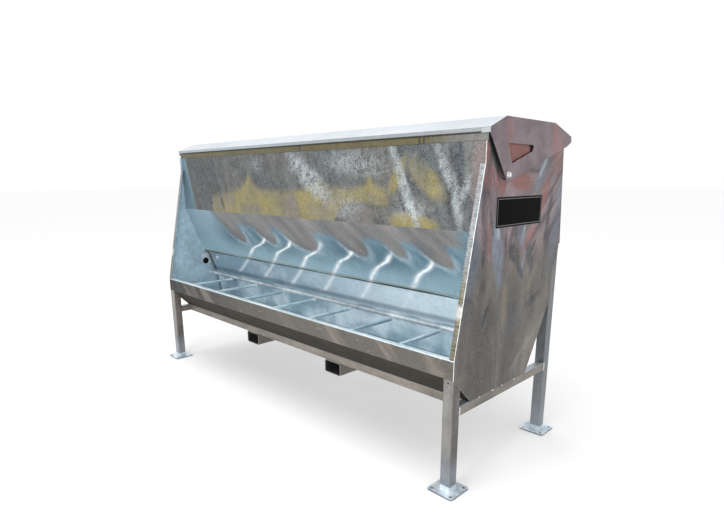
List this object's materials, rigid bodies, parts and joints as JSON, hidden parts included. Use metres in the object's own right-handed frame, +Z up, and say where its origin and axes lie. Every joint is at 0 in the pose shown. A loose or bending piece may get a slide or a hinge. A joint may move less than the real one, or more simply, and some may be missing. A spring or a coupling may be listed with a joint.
{
  "type": "trough feeder",
  "caption": "Long single-sided livestock hopper feeder: barred feed trough under a sloping hopper, tipping lid with cut-out cheeks, sliding feed regulator, four legs and fork pockets.",
  "frame": {"origin": "on the ground, midway between the four legs", "axes": "+X along the trough towards the end with the sign plate, -Y towards the feeding side, +Z up"},
  "size_m": [2.513, 0.892, 1.49],
  "materials": {
    "galvanised_sheet": "bright spangled zinc coating with soft streaks",
    "galvanised_plate": "hot-dip galvanised, patchy grey",
    "galvanised_tube": "hot-dip galvanised, satin",
    "zinc_fasteners": "zinc-plated",
    "black_rubber": "matt",
    "sign_black": "gloss, pale border"
  },
  "bodies": {
    "frame": {"back_slope_sheet": "galvanised_sheet", "bay_divider_1": "galvanised_tube", "bay_divider_2": "galvanised_tube", "bay_divider_3": "galvanised_tube", "bay_divider_4": "galvanised_tube", "bay_divider_5": "galvanised_tube", "bay_divider_6": "galvanised_tube", "bay_divider_7": "galvanised_tube", "bracket_plugs": "black_rubber", "end_plate_left": "galvanised_plate", "end_plate_right": "galvanised_plate", "foot_plate_front_left": "galvanised_tube", "foot_plate_front_right": "galvanised_tube", "foot_plate_rear_left": "galvanised_tube", "foot_plate_rear_right": "galvanised_tube", "fork_pocket_left": "galvanised_tube", "fork_pocket_right": "galvanised_tube", "hopper_front_sheet": "galvanised_sheet", "hopper_top_bar": "galvanised_plate", "leg_front_left": "galvanised_tube", "leg_front_right": "galvanised_tube", "leg_rear_left": "galvanised_tube", "leg_rear_right": "galvanised_tube", "long_rail_front": "galvanised_tube", "long_rail_rear": "galvanised_tube", "pivot_bolts": "zinc_fasteners", "pivot_nuts": "zinc_fasteners", "pivot_spacers": "zinc_fasteners", "pivot_washers": "zinc_fasteners", "rear_bar": "galvanised_tube", "rear_wall_sheet": "galvanised_sheet", "regulator_bracket_left": "galvanised_plate", "regulator_bracket_right": "galvanised_plate", "side_rail_left": "galvanised_tube", "side_rail_right": "galvanised_tube", "sign_plate": "sign_black", "trough_sheet": "galvanised_sheet"},
    "lid": {"lid_cheek_left": "galvanised_plate", "lid_cheek_right": "galvanised_plate", "lid_sheet": "galvanised_sheet"},
    "regulator": {"clamp_bolts": "zinc_fasteners", "clamp_nuts": "zinc_fasteners", "clamp_washers": "zinc_fasteners", "regulator_plate": "galvanised_sheet"}
  },
  "joints": [
    {"name": "lid_tip", "type": "hinge", "parent": "frame", "child": "lid", "pos_m": [0, -0.1125, 1.274], "axis": [1, 0, 0], "range_deg": [0, 78]},
    {"name": "regulator_slide", "type": "slide", "parent": "frame", "child": "regulator", "axis": [0, -0.3683, 0.9297], "range_m": [-0.028, 0.05]}
  ]
}
